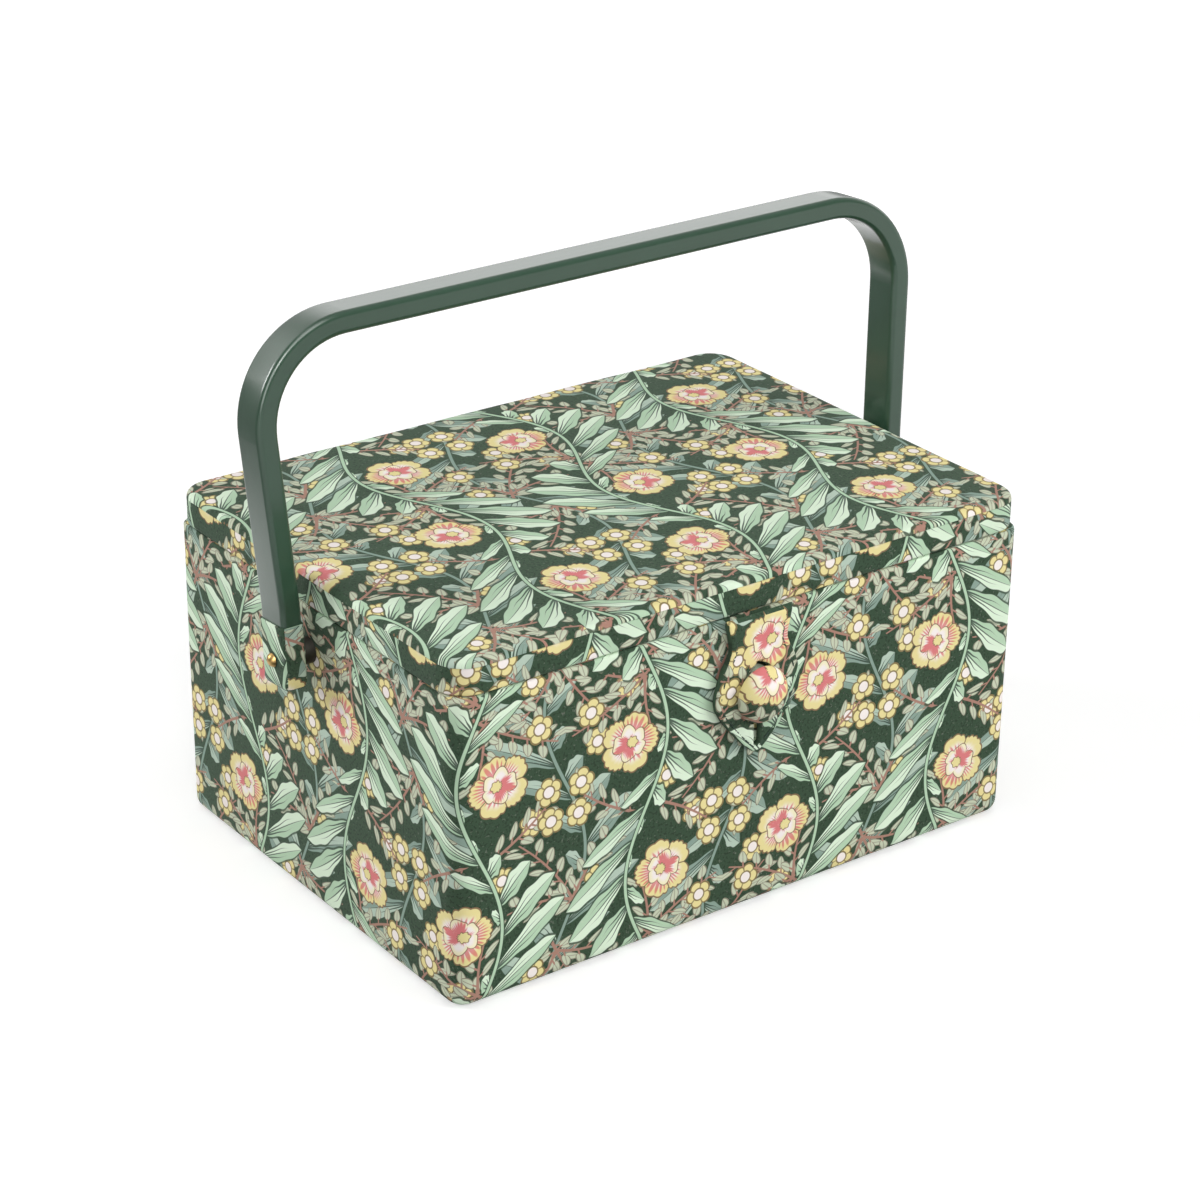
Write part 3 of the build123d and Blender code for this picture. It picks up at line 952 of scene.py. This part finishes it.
def loop_swell(x, z, half):
    """Half the loop's thickness: round at its edges, drawn in by its stitches, with soft folds by the eye."""
    near = min((loop_outer(z) - x) * LEAN, SEAM - z, (z - TIP) * 0.8)
    if loop_inner(z) > 0:
        near = min(near, x - loop_inner(z))
    else:
        near = min(near, math.hypot(x, z - (EYE_TOP if z >= EYE_TOP else SLIT_LOW)))
    edge = min(max(near, 0.0) / 1.1, 1.0)
    swell = half * math.sqrt(max(0.0, 1 - (1 - edge) ** 2))
    if z > 69:
        pucker = 1 + 0.5 * math.sin(2 * PI * z / 2.97)
        swell -= 0.50 * pucker * math.exp(-(((loop_outer(z) - x) * LEAN - STITCH_IN) / 0.6) ** 2)
    fold = 0.34 * math.sin(x * 0.55 + z * 0.33) * math.sin(z * 0.21 + 1.1)
    round_eye = math.atan2(z - EYE_WIDE, x)
    fold += 0.26 * math.sin(round_eye * 15 + x * 0.25) * min(max((x - EYE) / 4, 0), 1)
    swell += fold * edge * min(max((122 - z) / 6, 0), 1)
    if z > EYE_TOP:
        swell -= 0.25 * math.exp(-(x / 1.1) ** 2) * min((z - EYE_TOP) / 4, 1)
    return max(swell, 0.0)


def stitch_places(stitch):
    """Where the stitches lie along the loop's right edge, and how they lean."""
    path, z = [], STITCH_TOP
    while z > STITCH_LOW:
        path.append((loop_outer(z) - STITCH_IN / LEAN, z))
        z -= 0.1
    places, since = [], 0.0
    for (x1, z1), (x2, z2) in zip(path, path[1:]):
        since += math.hypot(x2 - x1, z2 - z1)
        if since >= stitch * 1.35 and x2 > 1.2:
            places.append((x2, z2, math.atan2(x2 - x1, z1 - z2)))
            since = 0.0
    return places


class SEWINGBOX_OT_closure_loop(SewingBoxStep, bpy.types.Operator):
    """The doubled loop that parts round the button, with its row of stitches"""

    bl_idname = "sewing_box.closure_loop"
    bl_label = "Sew the closure loop"

    def execute(self, context):
        stitch = context.scene.sewing_box_sizes.stitch / MM
        low, high = span("closure_loop")
        middle, half = (low[1] + high[1]) / 2, (high[1] - low[1]) / 2
        # Rows of the grid: even down to the eye, round it, and closer at the slit and the tip
        heights = [SEAM - k * 1.15 for k in range(17)]
        heights += [EYE_WIDE + (EYE_TOP - EYE_WIDE) * math.cos(PI / 2 * k / 10) for k in range(11)]
        heights += [EYE_WIDE - (EYE_WIDE - EYE_LOW) * math.sin(PI / 2 * k / 12) for k in range(1, 13)]
        heights += [78.2, 77, 75.6, 74.2, 72.8, 71.6, 70.8, 70.3, 70.2, 69.6, 68.8, 68.0, 67.2]
        heights = sorted(set(round(z, 4) for z in heights), reverse=True)
        columns, rows = 12, len(heights) - 1
        piece = grid("button_loop", columns, rows)
        for vertex in piece.data.vertices:
            s = round((vertex.co.x + 0.5) * columns) / columns
            z = heights[round((0.5 - vertex.co.y) * rows)]
            inner = loop_inner(z)
            s = 0.5 - 0.5 * math.cos(PI * s) if inner > 0 else math.sin(PI / 2 * s)
            x = inner + (loop_outer(z) - inner) * s
            vertex.co = Vector((x, -loop_swell(x, z, half), z)) * MM
        apply(piece, "MIRROR", use_axis=(True, True, False), use_mirror_merge=True, merge_threshold=NEAR * MM)
        piece.data.transform(Matrix.Translation((0, middle * MM, 0)))
        outward(piece)

        def place(point, normal):
            # Faces round the loop's edge take their cloth from a patch of dark ground in the print: painted
            # shade along the rim, where the loop stands off the wall
            if abs(normal.y) < 0.62:
                return 39.4 + 0.15 * point.x, 69.1 + 0.12 * (point.z - EYE_WIDE)
            return point.x + 24 + (60 if normal.y > 0.2 else 0), point.z - 82

        lay_on_cloth(piece, place)
        fit(piece, "print", "loop", "closure_loop", 60)

        seed = start("stitch", bpy.ops.mesh.primitive_cylinder_add, vertices=8, radius=0.27 * MM,
                     depth=stitch * MM, end_fill_type="NGON")
        work(seed)
        pick("FACE", lambda corners: len(corners) > 4)
        bpy.ops.mesh.inset(thickness=0.10 * MM)
        bpy.ops.transform.resize(value=(1, 1, 1.12))
        done()
        stitches = []
        for side in (-1, 1):
            for x, z, lean in stitch_places(stitch):
                one = seed.copy()
                one.data = seed.data.copy()
                bpy.context.collection.objects.link(one)
                one.data.transform(Matrix.Rotation(-lean * side, 4, "Y"))
                one.data.transform(Matrix.Translation(Vector((side * x, middle - half + 0.36, z)) * MM))
                stitches.append(one)
        only(*stitches)
        bpy.ops.object.join()
        row = bpy.context.object
        row.name = row.data.name = "loop_stitches"
        bpy.data.objects.remove(seed)
        fit(row, "thread", "loop", degrees=60)
        return {"FINISHED"}


class SEWINGBOX_OT_button(SewingBoxStep, bpy.types.Operator):
    """The domed button, covered in the same print"""

    bl_idname = "sewing_box.button"
    bl_label = "Cover the button"

    def execute(self, context):
        low, high = span("button_dome")
        radius, height = high[0], (low[2] + high[2]) / 2
        back, apex, edge = high[1], low[1], 1.2
        piece = start("covered_button", bpy.ops.mesh.primitive_uv_sphere_add, segments=56, ring_count=28,
                      radius=radius * MM, rotation=(PI / 2, 0, 0))
        bpy.ops.object.transform_apply(location=True, rotation=True, scale=True)

        def dome(c):
            """A low dome to the front, a tight rolled edge, and faint pleats behind."""
            turn, out = math.atan2(c.z, c.x), min(math.hypot(c.x, c.z) / radius, 1)
            if c.y < 0:
                y = back - edge + (apex - back + edge) * -c.y / radius
                y -= 0.10 * math.sin(turn * 3 + 0.6) * out ** 2
            else:
                y = back - edge * (1 - min(c.y / radius * 1.8, 1)) ** 0.5
            pleats = 1 + 0.006 * math.cos(turn * 18) * min(max((c.y + 3) / 4, 0), 1)
            return c.x * pleats, y, height + c.z * pleats

        shape(piece, dome)
        outward(piece)
        lay_on_cloth(piece, lambda point, normal: (point.x + 27, point.z - 71))
        fit(piece, "print", "base", "button_dome", 70)
        return {"FINISHED"}


class SEWINGBOX_OT_ears(SewingBoxStep, bpy.types.Operator):
    """Printed sleeves over the handle's ends"""

    bl_idname = "sewing_box.ears"
    bl_label = "Wrap the handle's ends"

    def execute(self, context):
        lean = math.radians(4.1)
        pivot_y, pivot_z, half_y, below, above = -1.3, 106.4, 8.6, 10.8, 14.1
        near_x, middle_x, far_x = 135.7, 140.6, 145.5
        top = pivot_z + above
        for side, name in ((-1, "left"), (1, "right")):
            inner, outer = sorted((near_x * side, far_x * side))
            piece = block("ear_cloth_" + name, (inner, pivot_y - half_y, pivot_z - below),
                          (outer, pivot_y + half_y, top))
            work(piece)
            round_off(lambda corners: not level(top)(corners), 2.7, 5)
            turn_in(level(top), 0.75, -3.5)
            round_off(level(top), 0.3, 2)
            slice_up(2, steps(pivot_z - 8, top - 0.6, 2.2))
            slice_up(1, steps(pivot_y - 5.9, pivot_y + 5.9, 2.4))
            done()

            def drag(c):
                """Drawn in round the rivet, and creased."""
                if c.z > top - 2.5:
                    return c
                tight = math.exp(-((c.z - pivot_z) / 4.5) ** 2 - ((c.y - pivot_y) / 5.5) ** 2)
                pulled = 0.22 * tight * (1 if c.x * side > middle_x else -1) * side
                crease = 0.12 * math.sin((c.z - pivot_z) * 0.9 + (c.y - pivot_y) * 0.5)
                return c.x - pulled + crease * side * 0.6, c.y + crease * 0.5, c.z

            shape(piece, drag)
            pivot = Matrix.Translation(Vector((0, pivot_y, pivot_z)) * MM)
            piece.data.transform(pivot @ Matrix.Rotation(-lean, 4, "X") @ pivot.inverted())

            def place(point, normal):
                y, z = point.y - pivot_y, point.z - pivot_z
                if abs(normal.y) > 0.75:
                    return (point.x - middle_x * side) * side + 20 + 60 * (normal.y > 0), z + 44
                return side * y + 45 + 25 * side, z + 96

            lay_on_cloth(piece, place)
            fit(piece, "print", "handle", "handle_ear_" + name, 45)
        return {"FINISHED"}


class SEWINGBOX_OT_line_body(SewingBoxStep, bpy.types.Operator):
    """Lining on the walls and the soft pad on the bottom"""

    bl_idname = "sewing_box.line_body"
    bl_label = "Line the body"

    def execute(self, context):
        low, high = span("wall_lining")
        half_x, half_y, top = high
        piece = block("wall_sateen", low, high)
        work(piece)
        remove(lambda corners: level(low[2])(corners) or level(top)(corners))
        dice(low, high, 9, 9, 9)
        turn_over()
        done()
        thicken(piece, 0.8, offset=1)
        waves(piece, 0.45, 20, lambda c: (
            abs(c.x) < half_x - 0.5 and abs(c.y) < half_y - 0.5 and c.z < top - 1))
        corner = 0.01
        lay_on_cloth(piece, lambda point, normal: (
            along_sides(point.x, point.y, half_x, half_y, corner)[0], point.z), girth(half_x, half_y, corner))
        fit(piece, "lining", "base", "wall_lining")

        pad, low, high = slab("bottom_pad", "base_pad", corner=(2.0, 3), edge=(2.0, 4), up=True, gaps=(5, 5))
        flat, square, seam_width = low[2] + 2, 30, 1.8

        def quilt(c):
            if c.z < flat:
                return c
            across, along = (abs((way / square) % 1 - 0.5) * square for way in (c.x + c.y, c.x - c.y))
            seam = max(math.exp(-(across / seam_width) ** 2), math.exp(-(along / seam_width) ** 2))
            return c.x, c.y, c.z - 1.5 * seam * min((c.z - flat) / 2, 1)

        shape(pad, quilt)
        lay_on_cloth(pad)
        fit(pad, "lining", "base", "base_pad", 60)
        return {"FINISHED"}


class SEWINGBOX_OT_line_lid(SewingBoxStep, bpy.types.Operator):
    """The lid's lined card, its pincushion and its gathered pocket"""

    bl_idname = "sewing_box.line_lid"
    bl_label = "Line the lid"

    def execute(self, context):
        card, low, high = slab("lid_sateen", "lid_lining", edge=(0.45, 3), gaps=(8, 8))
        waves(card, 0.3, 24, lambda c: c.z < low[2] + 0.1)
        lay_on_cloth(card)
        fit(card, "lining", "lid", "lid_lining")
        self.stuff_pincushion()
        self.gather_pocket(card, context.scene.sewing_box_sizes.gathers)

        elastic, low, high = slab("pocket_band", "pocket_elastic", edge=(0.3, 2), gaps=(1.2, 1.5))
        shape(elastic, lambda c: (
            c.x, c.y + 0.35 * math.sin(c.x * 1.9), c.z - 0.6 - 0.25 * math.sin(c.x * 3.1)))
        lay_on_cloth(elastic)
        fit(elastic, "elastic", "lid", "pocket_elastic", 60)
        return {"FINISHED"}

    def stuff_pincushion(self):
        foot = span("pincushion")[1][2]
        cushion, low, high = slab("pin_cushion", "pincushion", corner=(6.0, 5), edge=(4.0, 5),
                                  gaps=(4, 4), levels=(foot - 1, foot - 2.5))
        middle_x, middle_y = (low[0] + high[0]) / 2, (low[1] + high[1]) / 2
        half_x, half_y, deep = (high[0] - low[0]) / 2, (high[1] - low[1]) / 2, foot - low[2]

        def stuff(c):
            x, y = (c.x - middle_x) / half_x, (c.y - middle_y) / half_y
            up = (foot - c.z) / deep
            crown = math.sqrt((1 - min(abs(x), 1) ** 2) * (1 - min(abs(y), 1) ** 2))
            pinch = 0.035 * (1 - up) * (1 - abs(x * y))
            pucker = 0.006 * math.sin(x * 34) * (abs(y) > 0.9) + 0.006 * math.sin(y * 27) * (abs(x) > 0.9)
            wide, up = 1 - pinch + pucker, up * (0.42 + 0.58 * crown)
            return middle_x + x * half_x * wide, middle_y + y * half_y * wide, foot - deep * up

        shape(cushion, stuff)
        apply(cushion, "SUBSURF", levels=1, render_levels=1)
        lay_on_cloth(cushion, lambda point, normal: (point.x, point.y + 0.6 * point.z))
        fit(cushion, "cushion", "lid", "pincushion", 60)

    def gather_pocket(self, card, gathers):
        low, high = span("lid_pocket")
        wide, deep = high[0] - low[0], high[1] - low[1]
        hem, flat = 0.03, 0.35
        pocket = grid("gathered_pocket", 130, 44)
        for vertex in pocket.data.vertices:
            s, t = vertex.co.x + 0.5, vertex.co.y + 0.5
            gather = math.sin(2 * PI * gathers * s + 0.7 * math.sin(9 * s))
            belly = (4 * s * (1 - s)) ** 0.6 * (1 - (2 * t - 0.9) ** 4 * 0.8)
            side, end = min(s, 1 - s, hem) / hem, min(1 - t, hem) / hem
            down = 0.9 + 1.9 * max(belly, 0) + 0.75 * gather * (0.15 + 0.85 * (1 - t) ** 1.3) * side
            down = flat + (down - flat) * math.sqrt(max(min(side, end), 0))
            vertex.co = Vector((low[0] + wide * s, low[1] + deep * t, high[2] - down)) * MM
        work(pocket)
        turn_over()
        done()
        thicken(pocket, 0.3)
        lay_on_cloth(pocket, lambda point, normal: (point.x * 1.4, point.y))
        fit(pocket, "lining", "lid", "lid_pocket", 70)


class SEWINGBOX_OT_base_cloth(SewingBoxStep, bpy.types.Operator):
    """Felt under the base, between the hems of the cover"""

    bl_idname = "sewing_box.base_cloth"
    bl_label = "Felt the underside"

    def execute(self, context):
        piece, low, high = slab("base_felt", "base_cloth", corner=(2.0, 3), edge=(0.3, 2), gaps=(12, 12))
        waves(piece, 0.2, 30, lambda c: c.z > 0.5)
        fit(piece, "felt", "base", "base_cloth")
        return {"FINISHED"}


class SEWINGBOX_OT_hard_parts(SewingBoxStep, bpy.types.Operator):
    """Paint, metal, board and plastic on the model's own hard parts"""

    bl_idname = "sewing_box.hard_parts"
    bl_label = "Finish the hard parts"

    def execute(self, context):
        # The spacers take the dark steel, painted shade in the gap behind the ears
        by_start = {"handle": "paint", "rivet_washer": "steel", "rivet": "brass", "spacer": "shade-dark steel",
                    "button": "steel", "tray_ledge": "lining", "tray": "tray", "": "board"}
        for name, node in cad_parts.items():
            if not node.hide_render:
                dress(node, finish(next(by_start[start] for start in by_start if name.startswith(start))))
        return {"FINISHED"}


class SEWINGBOX_OT_stage(SewingBoxStep, bpy.types.Operator):
    """Pale floor, soft studio light and the camera"""

    bl_idname = "sewing_box.stage"
    bl_label = "Lay the stage"

    def execute(self, context):
        scene = context.scene
        scene.view_settings.view_transform = "Standard"
        floor = start("studio_floor", bpy.ops.mesh.primitive_plane_add, size=30, location=(0, 0, -0.0004))
        dress(floor, self.floor_finish())
        scene.world = scene.world or bpy.data.worlds.new("studio")
        self.light_world(Finish("studio", scene.world))
        for name, place, size, power_w, mirrored in (
            ("top softbox", (-0.3, -0.6, 2.6), 1.2, 13, True),
            ("key softbox", (-1.0, -1.5, 1.5), 0.5, 11, True),
            ("right softbox", (1.9, -2.0, 0.9), 2.1, 50, False),
            ("left softbox", (-1.7, 1.7, 1.1), 0.8, 30, True),
        ):
            lamp = start(name, bpy.ops.object.light_add, type="AREA", location=place)
            lamp.data.size = size
            lamp.data.energy = power_w
            lamp.visible_glossy = mirrored
            lamp.rotation_euler = (Vector((0, 0, 0.1)) - Vector(place)).to_track_quat("-Z", "Y").to_euler()
        scene.camera = self.set_camera()
        return {"FINISHED"}

    def floor_finish(self):
        """White to the camera, and for reflections alone a glow that is dark in front, bright behind and
        fades into the room: a painted reflection of a table.
        """
        f = Finish("studio floor")
        camera, glossy = f.rays()
        x, y, _ = f.apart(f.place())
        away = sqrt(x * x + y * y)
        beyond = rise(away, 0.36, 0.50)
        # These levels are emission that only reflections see, though the floor is no lamp: painted reflection
        front = mix(beyond, grey(0.02), grey(1.25))
        back = mix(beyond, grey(1.4), grey(0.25))
        mirrored = mix(rise(y, -0.12, 0.12), front, back)
        seen = mix(rise(away, 0.4, 1.4), grey(0.50), grey(0.90))
        ground = mix(glossy, grey(0.65), grey(0))
        white_and_reflection_glow = mix(most(camera, glossy), grey(0), mix(glossy, seen, mirrored))
        return f.surface(Base_Color=ground, Roughness=0.9, Specular_IOR_Level=0.1,
                         Emission_Color=white_and_reflection_glow, Emission_Strength=1.0)

    def light_world(self, w):
        """Plain soft light, white to the camera, and in reflections a room with pale and dark walls."""
        camera, glossy = w.rays()
        x, y, up = w.apart(w.node("ShaderNodeTexCoord", out="Generated"))
        behind = rise(y, -0.7, 0.1) * rise(x, 0.0, 0.45) * rise(up, -0.02, 0.1)
        behind = behind * (1 - 0.7 * rise(up, 0.33, 0.62))
        beside = rise(y, 0.1, 0.6) * rise(x, 0.25, -0.3) * rise(up, 0.0, 0.5)
        before = rise(y, -0.88, -0.78) * rise(y, -0.40, -0.50) * rise(x, 0.35, 0.15) * rise(up, 0.0, 0.2)
        walls = mix(before, mix(beside, mix(behind, grey(0.32), grey(1.66)), grey(1.9)), grey(6.0))
        shown = mix(glossy, grey(1), walls)
        soft = w.node("ShaderNodeBackground", sockets={"Color": grey(1), "Strength": 0.30})
        plain = w.node("ShaderNodeBackground", sockets={"Color": shown, "Strength": 1.0})
        both = w.node("ShaderNodeMixShader", sockets={0: most(camera, glossy), 1: soft, 2: plain})
        w.node("ShaderNodeOutputWorld", sockets={"Surface": both}, out=())

    def set_camera(self):
        """The photograph's view: from the right angle, a long lens and a slight roll."""
        azimuth, elevation, roll = (math.radians(degrees) for degrees in (-36.33, 25.158, 0.621))
        target, distance = Vector((0.016, -0.768, 90.778)) * MM, 1.233
        camera = start("photo camera", bpy.ops.object.camera_add)
        camera.data.sensor_width, camera.data.lens, camera.data.clip_start = 36, 96.21, 0.05
        camera.matrix_world = (
            Matrix.Translation(target) @ Matrix.Rotation(azimuth, 4, "Z")
            @ Matrix.Rotation(PI / 2 - elevation, 4, "X") @ Matrix.Rotation(roll, 4, "Z")
            @ Matrix.Translation((0, 0, distance)))
        return camera


class SEWINGBOX_PT_steps(bpy.types.Panel):
    """The steps in their order, with the sizes and colours"""

    bl_label = "Sewing box"
    bl_idname = "SEWINGBOX_PT_steps"
    bl_space_type = "VIEW_3D"
    bl_region_type = "UI"
    bl_category = "Sewing box"

    def draw(self, context):
        for step in steps_in_order:
            self.layout.operator(step.bl_idname)
        for group in (context.scene.sewing_box_sizes, context.scene.sewing_box_colours):
            column = self.layout.column()
            for name in group.__annotations__:
                column.prop(group, name)


steps_in_order = (
    SEWINGBOX_OT_cover_body,
    SEWINGBOX_OT_cover_lid,
    SEWINGBOX_OT_hinge,
    SEWINGBOX_OT_closure_loop,
    SEWINGBOX_OT_button,
    SEWINGBOX_OT_ears,
    SEWINGBOX_OT_line_body,
    SEWINGBOX_OT_line_lid,
    SEWINGBOX_OT_base_cloth,
    SEWINGBOX_OT_hard_parts,
    SEWINGBOX_OT_stage,
)
classes = (SewingBoxSizes, SewingBoxColours) + steps_in_order + (SEWINGBOX_PT_steps,)


def register():
    for one in classes:
        bpy.utils.register_class(one)
    bpy.types.Scene.sewing_box_sizes = bpy.props.PointerProperty(type=SewingBoxSizes)
    bpy.types.Scene.sewing_box_colours = bpy.props.PointerProperty(type=SewingBoxColours)


def unregister():
    del bpy.types.Scene.sewing_box_colours
    del bpy.types.Scene.sewing_box_sizes
    for one in reversed(classes):
        bpy.utils.unregister_class(one)


def main():
    register()
    for step in steps_in_order:
        group, name = step.bl_idname.split(".")
        getattr(getattr(bpy.ops, group), name)()


if __name__ == "__main__":
    main()
